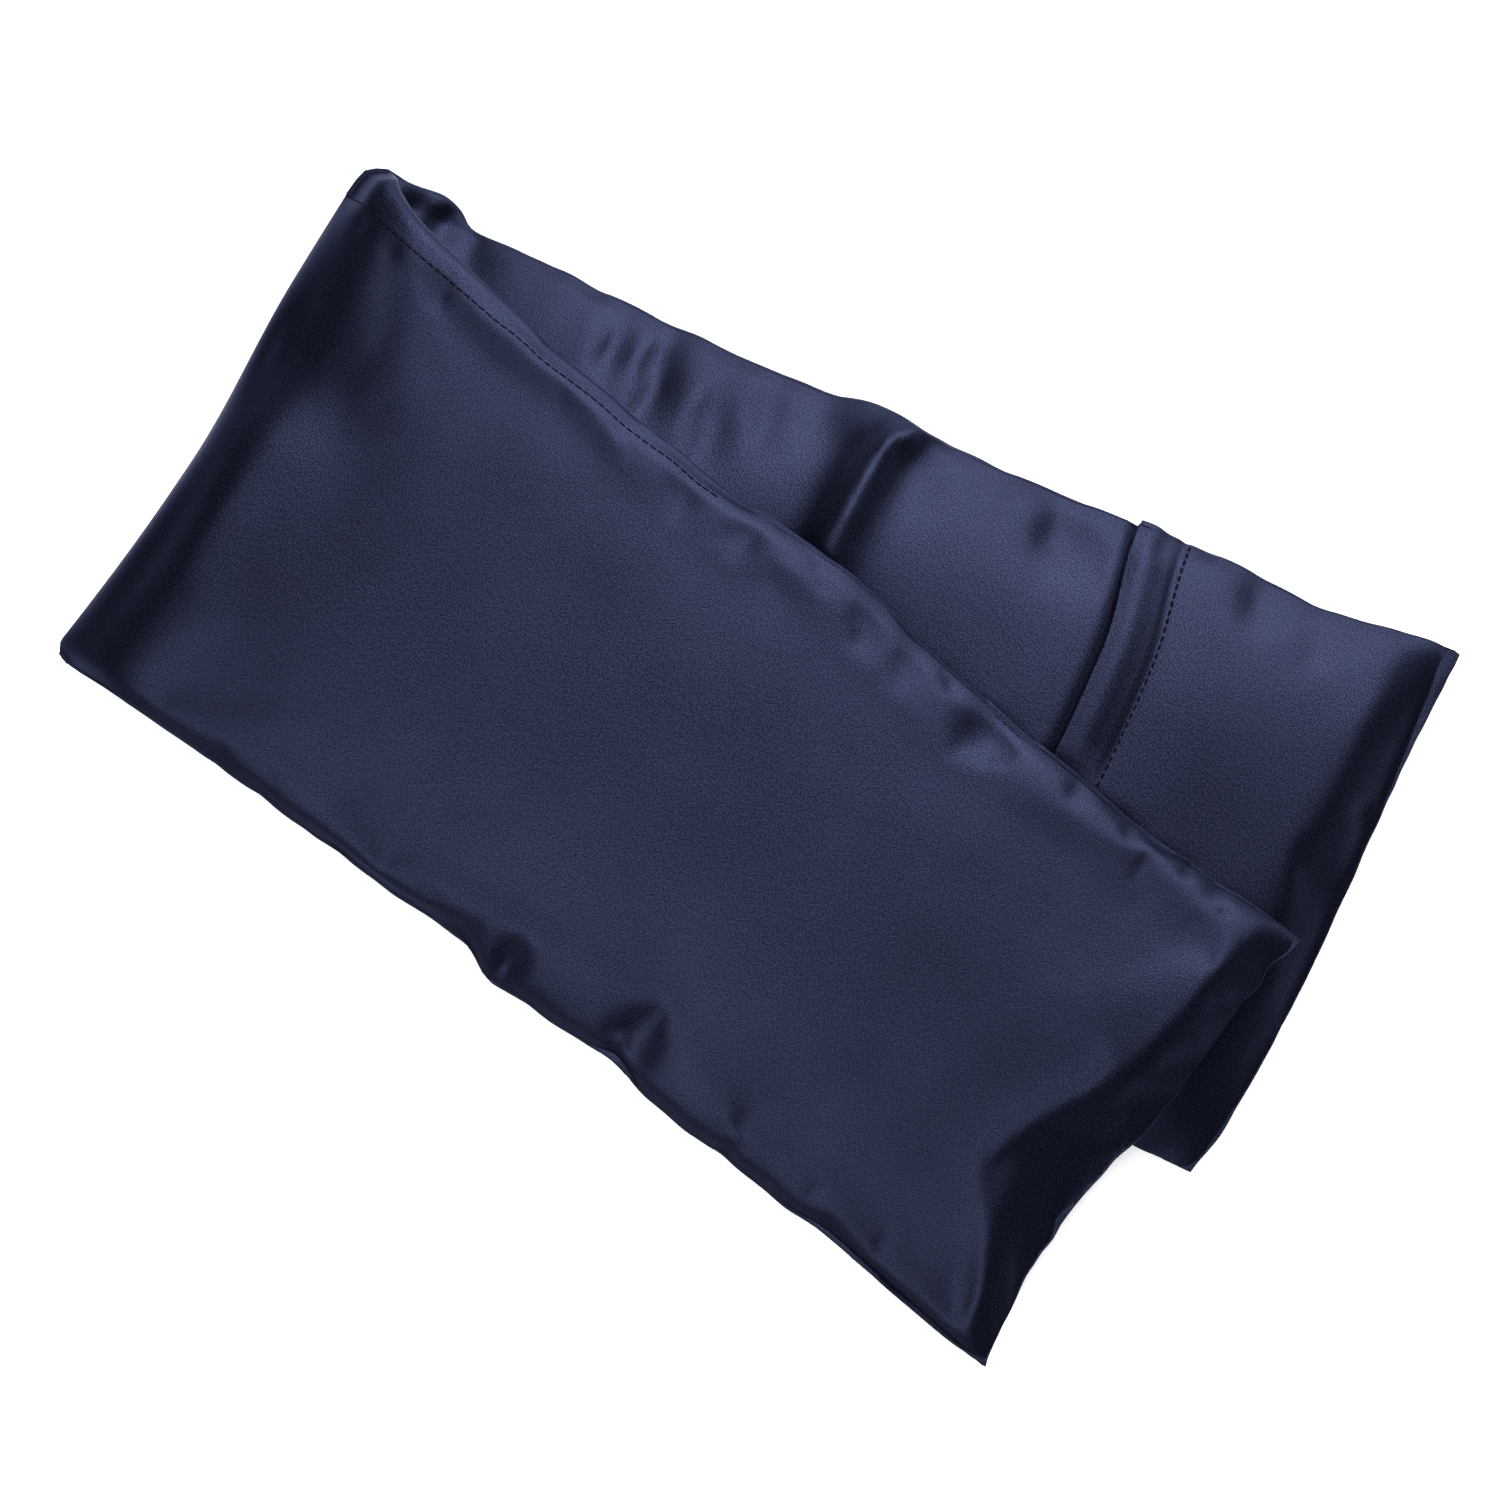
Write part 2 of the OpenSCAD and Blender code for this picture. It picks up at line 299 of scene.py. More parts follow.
def column_share(j):
    """Where column j lies across the leaf, from -1 to 1, with the columns closer at the edges."""
    q = 2 * j / COLUMNS - 1
    return math.sin(q * math.pi / 2) * EDGE_CROWDING + q * (1 - EDGE_CROWDING)


def wrap(leaf, i, reach, side):
    """The back skin's half turn round the side edge, from its own face over to the seam. Its shares stay
    below 1, which is kept for the front skin."""
    roll, to_front, to_back = leaf.roll_size(reach, side)
    points = []
    for k in range(1, WRAP + 1):
        turn = math.pi * k / WRAP
        w = side * (leaf.seam_w(reach, side) + roll * max(math.sin(turn), 0.0) ** 0.75)
        share = min((1 - math.cos(turn)) / 2, 0.9999)
        lift = to_back * (1 - share) - to_front * share
        points.append(skin_point(leaf, i, reach, w, side, lift, share))
    return points


def welded(front, back):
    """Makes the two skins share their points along the side seams and the closed end."""
    back[:, 0], back[:, -1] = front[:, 0], front[:, -1]
    back[-1, WRAP:-WRAP] = front[-1]
    back[-1, :WRAP], back[-1, -WRAP:] = front[-1, 0], front[-1, -1]
    return front, back


# The upper leaf's fill has slid away from the fold: share of its height lost there, and over what length.
SLUMP, SLUMP_REACH = 0.5, 34.0
BIG_LUMP, SMALL_LUMP = (0.10, 70), (0.05, 28)  # share of the thickness, and size of the fill's lumps
HOLLOW, HOLLOW_REACH = 5.0, 17  # depth of the hollow round the ridge, and its half length
RIDGE_RISE = 4.6  # how far the ridge stands out of the deepest part of the hollow, covered or not
RIDGE_LINE = [(20, 162.2), (36, 161.2), (54, 160.8), (64, 161.2), (70, 163.6), (78, 168)]  # its reach at w
RIDGE_TOP = 1.6  # radius of its rounded top
# Rows of reach, w, half size along the strip, half size across it, depth.
CREASES = (
    (14, 75, 3.4, 6, 2.2), (25, 71, 3.6, 7, 2.4), (36, 67, 3.6, 8, 1.3), (83, 60, 3.4, 10, 1.9),
    (97, 57, 3.6, 13, 2.8), (117, 51, 4.5, 12, 1.9), (129, 60, 4, 10, 1.6), (141, 66, 6, 8, 1.2),
    (214, 64, 8, 9, 2.6), (271, 70, 5.5, 7, 1.3), (292, 66, 9, 9, 1.0),
)
DIMPLES = (
    (9, 62, 2.2, 3.6, 0.7), (20, 61, 2.2, 3.6, 0.8), (37, 60.5, 2.4, 4, 0.8), (118, 58, 5, 6, 0.8),
    (137, 61, 4, 5, 0.8), (176, 61, 5, 6, 1.0), (189, 60, 4, 6, 0.8), (217, 59, 8, 7, 2.8),
    (243, 63.5, 3, 2.6, 0.7), (262, 63.5, 3, 2.6, 0.8), (281, 65, 2.6, 2.6, 0.8),
    (291, 66, 2.6, 2.6, 0.6), (150, -64, 4, 7, 3.2), (190, -57, 8, 11, 2.8),
    (16, 24, 20, 18, 4.0), (6, -34, 20, 30, 3.2), (301, -56, 7, 7, 1.2),
)
CREASE_SLANT = 0.2  # how far a crease leans along the strip for each millimetre across it
STEEP, GENTLE = 0.75, 2.1  # the two sides of a crease, in half sizes


def sculpt(leaf, share, reach, w, x, y, z):
    """Lumps of the fill, creases and dimples, then the upper leaf's place over the lower one."""
    edge = seam_z(reach)
    upward = share if leaf.mirrored else 1 - share
    fill = BIG_LUMP[0] * lumps(reach, w, leaf.seed, BIG_LUMP[1])
    fill += SMALL_LUMP[0] * lumps(reach, w, leaf.seed + 5, SMALL_LUMP[1])
    z = edge + (z - edge) * (1 + smooth(6, 50, reach) * fill * upward)
    if leaf.mirrored:
        slumped = bump(reach, 0, SLUMP_REACH) * (bump(w, 26, 24) + 0.5 * bump(w, -45, 26))
        z = edge + (z - edge) * (1 - SLUMP * slumped * upward)
        z += upper_dimples(reach, w) * upward
        z = 2 * FOLD_Z - z - drape(x, y, reach)
    else:
        ridge = crest(reach, w) * (headroom(x, y) + RIDGE_RISE * hollow_share(w))
        z += (ridge - lower_creases(reach, w)) * upward
        z = min(z, LEAF_T + CLEARANCE + headroom(x, y))
    return x, y, max(z, 0.0)


def lower_creases(reach, w):
    """The hollow that the lower leaf's ridge stands in, and the soft wrinkles along its edge."""
    total = HOLLOW * bump(reach, crest_reach(w), HOLLOW_REACH) * hollow_share(w)
    for at, across, width, breadth, depth in CREASES:
        total += depth * wrinkle(reach + CREASE_SLANT * (w - across) - at, width) * bump(w, across, breadth)
    return total


def hollow_share(w):
    """How deep the hollow beside the ridge is, across the leaf, as a share of its greatest depth."""
    return smooth(0, 26, w) * (1 - smooth(60, 76, w))


def wrinkle(d, width):
    """A fold of the cloth seen in section: steep on the side of the fold line, gentle on the other."""
    return math.exp(-((d / (STEEP * width if d < 0 else GENTLE * width)) ** 2))


def crest_reach(w):
    """How far from the fold the sharp ridge across the lower leaf lies."""
    return through(RIDGE_LINE, w)


def crest(reach, w):
    """Share of the ridge's height: a narrow top with long flanks, wider on the side of the closed end."""
    d = reach - crest_reach(w)
    flank = 7.0 if d < 0 else 10.5 - 3.5 * smooth(40, 72, w)
    height = math.exp(-(math.hypot(d, RIDGE_TOP) - RIDGE_TOP) / flank)
    return height * smooth(8, 26, w) * (1 - smooth(72, 84, w))


def upper_dimples(reach, w):
    """Positive pushes the upper leaf's top skin down."""
    total = 0.0
    for at, across, width, breadth, depth in DIMPLES:
        total += depth * bump(reach, at, width) * bump(w, across, breadth)
    return total * smooth(0, 10, reach)


# ---------------------------------------------------------------- meshes
def place(points):
    """From millimetres in the fold frame to metres in the shared frame."""
    return (np.asarray(points) + np.array([HINGE[0], 0.0, 0.0])) * MM


def new_mesh(name, points, faces, smooth_faces=True):
    mesh = bpy.data.meshes.new(name)
    mesh.from_pydata([tuple(p) for p in points], [], faces)
    mesh.validate()
    if smooth_faces:
        mesh.shade_smooth()
    piece = bpy.data.objects.new(name, mesh)
    bpy.context.scene.collection.objects.link(piece)
    return piece


def grid_faces(rows, columns, flip=False, base=0):
    faces = []
    for i in range(rows - 1):
        for j in range(columns - 1):
            a = base + i * columns + j
            quad = (a, a + 1, a + columns + 1, a + columns)
            faces.append(quad[::-1] if flip else quad)
    return faces


def grid_normals(grid):
    """Unit normals of a grid of points, all on one side of it."""
    du = np.gradient(grid, axis=0)
    dv = np.gradient(grid, axis=1)
    n = np.cross(dv, du)
    length = np.linalg.norm(n, axis=2, keepdims=True)
    return n / np.maximum(length, 1e-9)


def sheet_piece(name, grid, outward, strip, thickness=CLOTH):
    """A cloth shell from a grid of its outer points. outward gives each point's outward normal."""
    rows, columns = grid.shape[:2]
    count = rows * columns
    inner = grid - outward * thickness
    points = np.concatenate([grid.reshape(-1, 3), inner.reshape(-1, 3)])
    du = grid[1, columns // 2] - grid[0, columns // 2]
    dv = grid[0, columns // 2 + 1] - grid[0, columns // 2]
    flip = float(np.dot(np.cross(dv, du), outward[0, columns // 2])) < 0
    faces = grid_faces(rows, columns, flip) + grid_faces(rows, columns, not flip, count)
    ring = (
        [j for j in range(columns)]
        + [i * columns + columns - 1 for i in range(1, rows)]
        + [(rows - 1) * columns + j for j in range(columns - 2, -1, -1)]
        + [i * columns for i in range(rows - 2, 0, -1)]
    )
    for a, b in zip(ring, ring[1:] + ring[:1]):
        rim = (a, b, b + count, a + count)
        faces.append(rim if flip else rim[::-1])
    piece = new_mesh(name, place(points), faces)
    tag_strip(piece, np.concatenate([strip.reshape(-1, 2)] * 2))
    normals = np.concatenate([outward.reshape(-1, 3), -outward.reshape(-1, 3)])
    piece.data.normals_split_custom_set_from_vertices([tuple(n) for n in normals])
    return piece


def tag_strip(piece, along_across):
    """Stores where each point lies on the strip, in metres, so that the weave follows the cloth."""
    values = np.zeros((len(along_across), 3), np.float32)
    values[:, :2] = np.asarray(along_across) * MM
    layer = piece.data.attributes.new("strip", "FLOAT_VECTOR", "POINT")
    layer.data.foreach_set("vector", values.ravel())


def refine(grid):
    """Doubles a grid's resolution with a smooth (Catmull-Rom) curve both ways."""
    for axis in (0, 1):
        g = np.moveaxis(grid, axis, 0)
        padded = np.concatenate([2 * g[:1] - g[1:2], g, 2 * g[-1:] - g[-2:-1]])
        middle = (-padded[:-3] + 9 * padded[1:-2] + 9 * padded[2:-1] - padded[3:]) / 16
        out = np.empty((2 * len(g) - 1,) + g.shape[1:])
        out[0::2], out[1::2] = g, middle
        grid = np.moveaxis(out, 0, axis)
    return grid


def strip_grid(leaf, skin):
    """(along, across) of each grid point, in millimetres."""
    extra = WRAP if skin == BACK else 0
    arc = FOLD_R * math.pi / 2
    rows = []
    for i in range(ROWS + 1):
        along = arc * i / ROWS_FOLD if i <= ROWS_FOLD else leaf.row_reach(i) - FOLD_R + arc
        across = [(2 * j / COLUMNS - 1) * HALF_W for j in range(-extra, COLUMNS + 1 + extra)]
        rows.append([(-along if leaf.mirrored else along, w) for w in across])
    return np.array(rows)


# ---------------------------------------------------------------- materials
def node_tree(name):
    material = bpy.data.materials.new(name)
    material.use_nodes = True
    tree = material.node_tree
    shader = tree.nodes["Principled BSDF"]
    return material, tree, shader


def add(tree, kind, values=None, **settings):
    """A new node, with its settings and the values of its inputs."""
    node = tree.nodes.new(kind)
    for key, value in settings.items():
        setattr(node, key, value)
    for key, value in (values or {}).items():
        node.inputs[key].default_value = value
    return node


def colour_from(tree, shader, value, dark, light, low, high):
    """Base colour from a noise value: dark up to low, light from high on."""
    ramp = add(tree, "ShaderNodeValToRGB")
    for stop, at, colour in zip(ramp.color_ramp.elements, (low, high), (dark, light)):
        stop.position, stop.color = at, (*colour, 1)
    tree.links.new(value, ramp.inputs["Fac"])
    tree.links.new(ramp.outputs["Color"], shader.inputs["Base Color"])


def relief_from(tree, shader, value, strength):
    """Fine relief from a noise value."""
    relief = add(tree, "ShaderNodeBump", {"Strength": strength, "Distance": 0.0002})
    tree.links.new(value, relief.inputs["Height"])
    tree.links.new(relief.outputs["Normal"], shader.inputs["Normal"])


def satin_material(name, dark, light, roughness):
    """Satin: a fine grain along the cloth over a faint cloudiness, with a soft metallic sheen."""
    material, tree, shader = node_tree(name)
    link = tree.links.new
    where = add(tree, "ShaderNodeAttribute", attribute_name="strip")
    stretch = add(tree, "ShaderNodeMapping", {"Scale": (2600.0, 1900.0, 1.0), "Rotation": (0, 0, 0.5)})
    link(where.outputs["Vector"], stretch.inputs["Vector"])
    grain = add(tree, "ShaderNodeTexNoise", {"Scale": 1.0, "Detail": 2.0, "Roughness": 0.6})
    link(stretch.outputs["Vector"], grain.inputs["Vector"])
    cloudy = add(tree, "ShaderNodeTexNoise", {"Scale": 22.0, "Detail": 3.0, "Roughness": 0.55})
    link(where.outputs["Vector"], cloudy.inputs["Vector"])
    blend = add(tree, "ShaderNodeMath", {1: 0.88}, operation="MULTIPLY_ADD")
    link(grain.outputs["Fac"], blend.inputs[0])
    shade = add(tree, "ShaderNodeMath", {1: 0.12}, operation="MULTIPLY")
    link(cloudy.outputs["Fac"], shade.inputs[0])
    link(shade.outputs[0], blend.inputs[2])
    colour_from(tree, shader, blend.outputs[0], dark, light, 0.43, 0.57)
    rough = add(tree, "ShaderNodeMapRange", {"To Min": roughness - 0.05, "To Max": roughness + 0.07})
    link(grain.outputs["Fac"], rough.inputs["Value"])
    link(rough.outputs["Result"], shader.inputs["Roughness"])
    relief_from(tree, shader, grain.outputs["Fac"], 0.5)
    shader.inputs["Metallic"].default_value = 0.88
    shader.inputs["Specular IOR Level"].default_value = 0.25
    shader.inputs["Specular Tint"].default_value = (0.5, 0.52, 0.64, 1)
    return material


def fibre_material(name, dark, light, scale, roughness=0.85, shine=0.5):
    """Thread, cotton and seed share this: a coloured noise with relief."""
    material, tree, shader = node_tree(name)
    link = tree.links.new
    where = add(tree, "ShaderNodeTexCoord")
    grain = add(tree, "ShaderNodeTexNoise", {"Scale": scale, "Detail": 3.0})
    link(where.outputs["Object"], grain.inputs["Vector"])
    colour_from(tree, shader, grain.outputs["Fac"], dark, light, 0.35, 0.65)
    relief_from(tree, shader, grain.outputs["Fac"], 0.4)
    shader.inputs["Roughness"].default_value = roughness
    shader.inputs["Specular IOR Level"].default_value = shine
    return material


satin = satin_material("satin", (0.0047, 0.0058, 0.0126), (0.0142, 0.0168, 0.0366), 0.40)
# The turned hems use the cover satin made a little darker: painted shade on the cloth turned under the
# panels' edges.
satin_hem = satin_material("satin_hem", (0.0043, 0.0053, 0.0116), (0.0130, 0.0154, 0.0336), 0.40)
# The thread is near black with almost no shine: its own dark navy plus painted shade of the stitch holes and
# of the seams' grooves.
thread = fibre_material("thread", (0.0008, 0.0009, 0.002), (0.002, 0.0023, 0.005), 1800.0, 0.9, 0.06)
cotton = fibre_material("cotton", (0.62, 0.59, 0.52), (0.76, 0.74, 0.68), 1500.0)
cotton_thread = fibre_material("cotton_thread", (0.66, 0.63, 0.56), (0.80, 0.78, 0.72), 2200.0)
flax = fibre_material("flax", (0.10, 0.045, 0.018), (0.27, 0.14, 0.06), 420.0, 0.45)

# ---------------------------------------------------------------- cloth
PRESSURE = 2.5
SLACK = 0.002  # how much longer the cloth is than the shape it starts from
SIM_FRAMES = 22
MAX_MOVE = 2.5  # the furthest that the cloth may settle from its starting shape
HELD, FREE = 4, 60  # reach up to which it doesn't settle at all, and from which it settles fully
PINNED_ROWS = 3
WELD = 0.02  # points closer than this are one


def settle(leaf, front, back):
    """Inflates a leaf's slack cloth so that it puckers along its seams, and returns both skins."""
    split = front.shape[0] * front.shape[1]
    points = np.concatenate([front.reshape(-1, 3), back.reshape(-1, 3)])
    _, first, index = np.unique(np.round(points / WELD), axis=0, return_index=True, return_inverse=True)
    index = index.reshape(-1)
    faces = []
    for quad in grid_faces(*front.shape[:2]) + grid_faces(*back.shape[:2], True, split):
        corners = list(dict.fromkeys(int(index[k]) for k in quad))
        if len(corners) > 2:
            faces.append(corners)
    ahead, behind = index[:split].reshape(front.shape[:2]), index[split:].reshape(back.shape[:2])
    by_fold = (*ahead[:PINNED_ROWS].flat, *behind[:PINNED_ROWS].flat)
    in_seams = (*ahead[:, 0], *ahead[:, -1], *ahead[-1])
    pinned = sorted({int(k) for k in (*by_fold, *in_seams)})
    settled = inflate("sim_" + leaf.name, points[first], faces, pinned)

    reaches = [leaf.row_reach(i) for i in range(ROWS + 1)]
    away = np.concatenate([np.repeat(reaches, skin.shape[1]) for skin in (front, back)])[first]
    move = (settled - points[first]) * smooth_array(HELD, FREE, away)[:, None]
    size = np.linalg.norm(move, axis=1, keepdims=True)
    move *= MAX_MOVE * np.tanh(size / MAX_MOVE) / np.maximum(size, 1e-6)
    moved = (points[first] + move)[index]
    front, back = moved[:split].reshape(front.shape), moved[split:].reshape(back.shape)
    keep_apart(leaf, front, back)
    return front, back


def inflate(name, points, faces, pinned):
    """Where a closed bag of cloth settles under pressure, with some of its points pinned."""
    body = new_mesh(name, points * MM, faces)
    body.vertex_groups.new(name="pinned").add(pinned, 1.0, "REPLACE")
    cloth = body.modifiers.new("cloth", "CLOTH")
    setup = cloth.settings
    setup.quality, setup.mass, setup.air_damping = 6, 0.25, 2.0
    setup.tension_stiffness = setup.compression_stiffness = 25
    setup.shear_stiffness, setup.bending_stiffness = 8, 3.0
    setup.use_pressure, setup.uniform_pressure_force = True, PRESSURE
    setup.shrink_min = setup.shrink_max = -SLACK
    setup.vertex_group_mass = "pinned"
    setup.effector_weights.gravity = 0
    cloth.collision_settings.use_collision = False
    scene = bpy.context.scene
    for frame_number in range(1, SIM_FRAMES + 1):
        scene.frame_set(frame_number)
    shown = body.evaluated_get(bpy.context.evaluated_depsgraph_get())
    settled = np.array([tuple(v.co) for v in shown.data.vertices]) / MM
    mesh = body.data
    bpy.data.objects.remove(body)
    bpy.data.meshes.remove(mesh)
    scene.frame_set(1)
    return settled


def keep_apart(leaf, front, back):
    """Keeps a settled leaf above the floor and clear of the other leaf."""
    front[..., 2] = np.maximum(front[..., 2], 0.0)
    for i, row in enumerate(back):
        for point in row:
            if leaf.mirrored:
                low = 2 * FOLD_Z - LEAF_T - drape(point[0], point[1], leaf.row_reach(i))
                point[2] = max(point[2], low)
            else:
                point[2] = min(point[2], LEAF_T + CLEARANCE + headroom(point[0], point[1]))


# ---------------------------------------------------------------- skins
TUCK, TUCK_ROWS = 0.5, 12  # how far the back skin's first row is drawn in, and the rows that share in it


def bilinear(array, rows, columns):
    """Values of a grid at fractional rows and columns."""
    r = np.clip(np.floor(rows).astype(int), 0, array.shape[0] - 2)
    c = np.clip(np.floor(columns).astype(int), 0, array.shape[1] - 2)
    fr, fc = (rows - r)[..., None], (columns - c)[..., None]
    low = array[r, c] * (1 - fc) + array[r, c + 1] * fc
    return low * (1 - fr) + (array[r + 1, c] * (1 - fc) + array[r + 1, c + 1] * fc) * fr


def unit(vectors):
    return vectors / np.maximum(np.linalg.norm(vectors, axis=-1, keepdims=True), 1e-9)


class Skin:
    """One settled skin of a leaf. Rows run along the strip and columns across it, at half steps."""

    def __init__(self, leaf, skin, grid):
        self.extra = 2 * WRAP if skin == BACK else 0
        self.grid, self.strip = refine(grid), refine(strip_grid(leaf, skin))
        if skin == BACK:
            self.tuck_in()
        n = grid_normals(self.grid)
        towards = skin * (1 if leaf.mirrored else -1)
        self.normals = n if n[n.shape[0] // 2, n.shape[1] // 2, 2] * towards > 0 else -n
        self.reaches = np.array([leaf.row_reach(i) for i in range(ROWS + 1)])
        self.shares = np.array([column_share(j) for j in range(COLUMNS + 1)])

    def tuck_in(self):
        """Draws the back skin's first rows in from the fold, to end behind the cloth round it."""
        columns = np.arange(self.grid.shape[1])
        across = np.clip(np.minimum(columns, columns[-1] - columns) / self.extra, 0, 1)
        along = np.clip(1 - np.arange(self.grid.shape[0]) / TUCK_ROWS, 0, 1)
        self.grid[..., 0] += TUCK * along[:, None] * across[None]

    def row_at(self, reach):
        return 2 * np.interp(reach, self.reaches, np.arange(ROWS + 1))

    def reach_at(self, row):
        return np.interp(row / 2, np.arange(ROWS + 1), self.reaches)

    def column_at(self, v):
        return self.extra + 2 * np.interp(v, self.shares, np.arange(COLUMNS + 1))

    def v_at(self, column):
        return np.interp((column - self.extra) / 2, np.arange(COLUMNS + 1), self.shares)

    def sample(self, rows, columns):
        """Points, outward normals and strip places at fractional rows and columns."""
        return (bilinear(self.grid, rows, columns), unit(bilinear(self.normals, rows, columns)),
                bilinear(self.strip, rows, columns))


def settled_leaf(leaf):
    """A leaf's front and back skins."""
    front, back = welded(leaf_surface(leaf, FRONT), leaf_surface(leaf, BACK))
    front, back = settle(leaf, front, back)
    return Skin(leaf, FRONT, front), Skin(leaf, BACK, back)


def facing(grid, like):
    """Normals of a grid, on the same side as the given ones."""
    n = grid_normals(grid)
    return n if float((n * like).sum()) > 0 else -n


def finish_piece(piece, material, nodes, body=None):
    """Gives a piece its material and slot, the CAD nodes it replaces and the body it rides on."""
    piece.data.materials.append(material)
    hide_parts(*nodes)
    if body:
        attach(piece, body)
    return piece


# ---------------------------------------------------------------- the cover
FLAP_LIFT, FLAP_PUFF, STITCH_DIP = 1.7, 0.8, 0.6  # the flap's edge, the swell of its hem, its stitch line
LONG_DIP = (1.4, 1.6)  # how far the long panel lies below the flap, beside and under the upper leaf
DIP_START, DIP_FULL = -3.6, 0.8  # where the long panel starts to dip, and lies at full depth, past the edge
SEWN_COLUMNS = 6  # columns beside each side seam over which the layers come together
HEM_RADIUS, HEM_STEPS = 0.55, 6


def cover_panel(leaf, skin, name, node, start=0):
    """A leaf's skin as one panel, from row start on."""
    piece = sheet_piece(name, skin.grid[start:], skin.normals[start:], skin.strip[start:])
    finish_piece(piece, satin, [node], leaf.body)


def fold_band(lower, upper):
    """The front cloth where it turns round the fold, from one leaf to the other."""
    n = 2 * BAND_ROWS
    parts = [np.concatenate([a[n::-1], b[1:n + 1]]) for a, b in (
        (lower.grid, upper.grid), (lower.normals, upper.normals), (lower.strip, upper.strip))]
    parts[1][n] = unit(lower.normals[0] + upper.normals[0])
    piece = sheet_piece("fold_crease_band", *parts)
    finish_piece(piece, satin, ["fold_crease_cloth"])
    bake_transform(piece)


def opening_reach(skin, columns):
    """How far along the strip the flap's edge lies, at each column."""
    return np.array([through(OPENING, HALF_W * v) for v in skin.v_at(columns)])


def beside_upper(grid):
    """1 at the points of a grid that the upper leaf leaves open, 0 at those it covers."""
    return np.array([[beyond_upper(*point[:2]) for point in row] for row in grid])


def away_from_seams(columns):
    """0 at the two side seams, where the layers are sewn together, and 1 between them."""
    return np.clip(np.minimum(columns, columns[-1] - columns) / SEWN_COLUMNS, 0, 1)


def long_panel(skin):
    """The lower leaf's long back panel: it dips at the opening and runs on under the flap."""
    columns = np.arange(skin.grid.shape[1], dtype=float)
    edge = opening_reach(skin, columns)
    last = skin.row_at(edge + UNDERLAP)
    rows = np.linspace(0, 1, int(last.max()) + 1)[:, None] * last[None]
    grid, normals, strip = skin.sample(rows, np.broadcast_to(columns, rows.shape))
    free = beside_upper(grid)
    ahead = skin.reach_at(rows) - edge
    depth = LONG_DIP[0] * free + LONG_DIP[1] * (1 - free)
    dip = away_from_seams(columns) * depth * smooth_array(DIP_START, DIP_FULL, ahead)
    grid = grid - normals * dip[..., None]
    n = facing(grid, normals)
    piece = sheet_piece("cover_back_long", grid, n, strip)
    finish_piece(piece, satin, ["back_panel_long"], LOWER.body)
    start = int(np.argmin(np.abs(ahead[:, columns.size // 2] - (UNDERLAP - HEM_W))))
    middle = slice(skin.extra, -skin.extra)
    last_rows = (a[start:, middle][::-1] for a in (grid, n, strip))
    turned_hem("long_panel_hem_turned", *last_rows, "long_panel_hem")


def flap(skin):
    """The lower leaf's short back panel: its turned edge stands proud, and its hem is sewn down."""
    columns = np.arange(skin.grid.shape[1], dtype=float)
    edge = opening_reach(skin, columns)
    steps = np.concatenate([np.arange(0, 20, 1.0), np.arange(20, 90, 2.2)])  # closer at the edge
    steps = steps / steps[-1]
    rows = skin.row_at(edge)[None] * (1 - steps[:, None]) + (skin.grid.shape[0] - 1) * steps[:, None]
    grid, normals, strip = skin.sample(rows, np.broadcast_to(columns, rows.shape))
    ahead = skin.reach_at(rows) - edge
    lift = FLAP_LIFT * (1 - 0.75 * smooth_array(3, 17, ahead) - 0.25 * smooth_array(17, 45, ahead))
    lift = lift + FLAP_PUFF * np.exp(-((ahead - 4.5) / 4) ** 2)
    lift -= STITCH_DIP * np.exp(-((ahead - HEM_W) / 1.1) ** 2)
    grid = grid + normals * (lift * beside_upper(grid) * away_from_seams(columns))[..., None]
    n = facing(grid, normals)
    piece = sheet_piece("cover_back_flap", grid, n, strip)
    finish_piece(piece, satin, ["back_panel_flap"], LOWER.body)
    sewn = int(np.argmin(np.abs(ahead[:, columns.size // 2] - HEM_W)))
    middle = slice(skin.extra, -skin.extra)
    turned_hem("flap_hem_turned", *(a[:sewn + 2, middle] for a in (grid, n, strip)), "flap_hem")
    inside = slice(skin.extra - 2, -skin.extra + 2)
    # The near-black hem stitches carry painted shade of their stitch holes.
    thread_piece("flap_hem_thread", [(grid[sewn, inside], n[sewn, inside])], LOWER.body, thread,
                 "flap_hem_stitches")


def turned_hem(name, grid, normals, strip, node):
    """The strip of cloth turned under a panel's edge. The panel's edge is the grid's first row."""
    along = unit(grid[1] - grid[0])
    turn = []
    for k in range(HEM_STEPS + 1):
        angle = math.pi * k / HEM_STEPS
        turn.append(grid[0] - along * HEM_RADIUS * math.sin(angle)
                    - normals[0] * (HEM_RADIUS * (1 - math.cos(angle))))
    under = grid[1:] - normals[1:] * 2 * HEM_RADIUS
    points = np.concatenate([turn, under])
    out = -facing(points, np.concatenate([-normals[:1]] * len(turn) + [normals[1:]]))
    if float((out[1] * along).sum()) > 0:
        out = -out
    tags = np.concatenate([np.repeat(strip[:1], len(turn), axis=0), strip[1:]])
    piece = sheet_piece(name, points, out, tags)
    # A darker copy of the satin: painted shade on the turned hem.
    finish_piece(piece, satin_hem, [node], LOWER.body)


# ---------------------------------------------------------------- thread
# The seam stitches run nearly end to end, so that their near-black thread makes a line of painted shade along
# the seam's groove.
STITCH, SEAM_STITCH = (1.8, 0.75), (2.3, 0.5)  # length and width
STITCH_HEIGHT = 0.5
# A stitch in section along its length: where, as a share of the length, and how wide, of the width.
CAPSULE = ((-0.5, 0.0), (-0.44, 0.62), (-0.25, 1.0), (0.25, 1.0), (0.44, 0.62), (0.5, 0.0))
SIDES = 6
IN_SEAM = 0.985  # v of the stitches in the side seams
SHOWN_SEAM = 128.0  # how far from the fold the upper leaf's stitches show along its +w seam


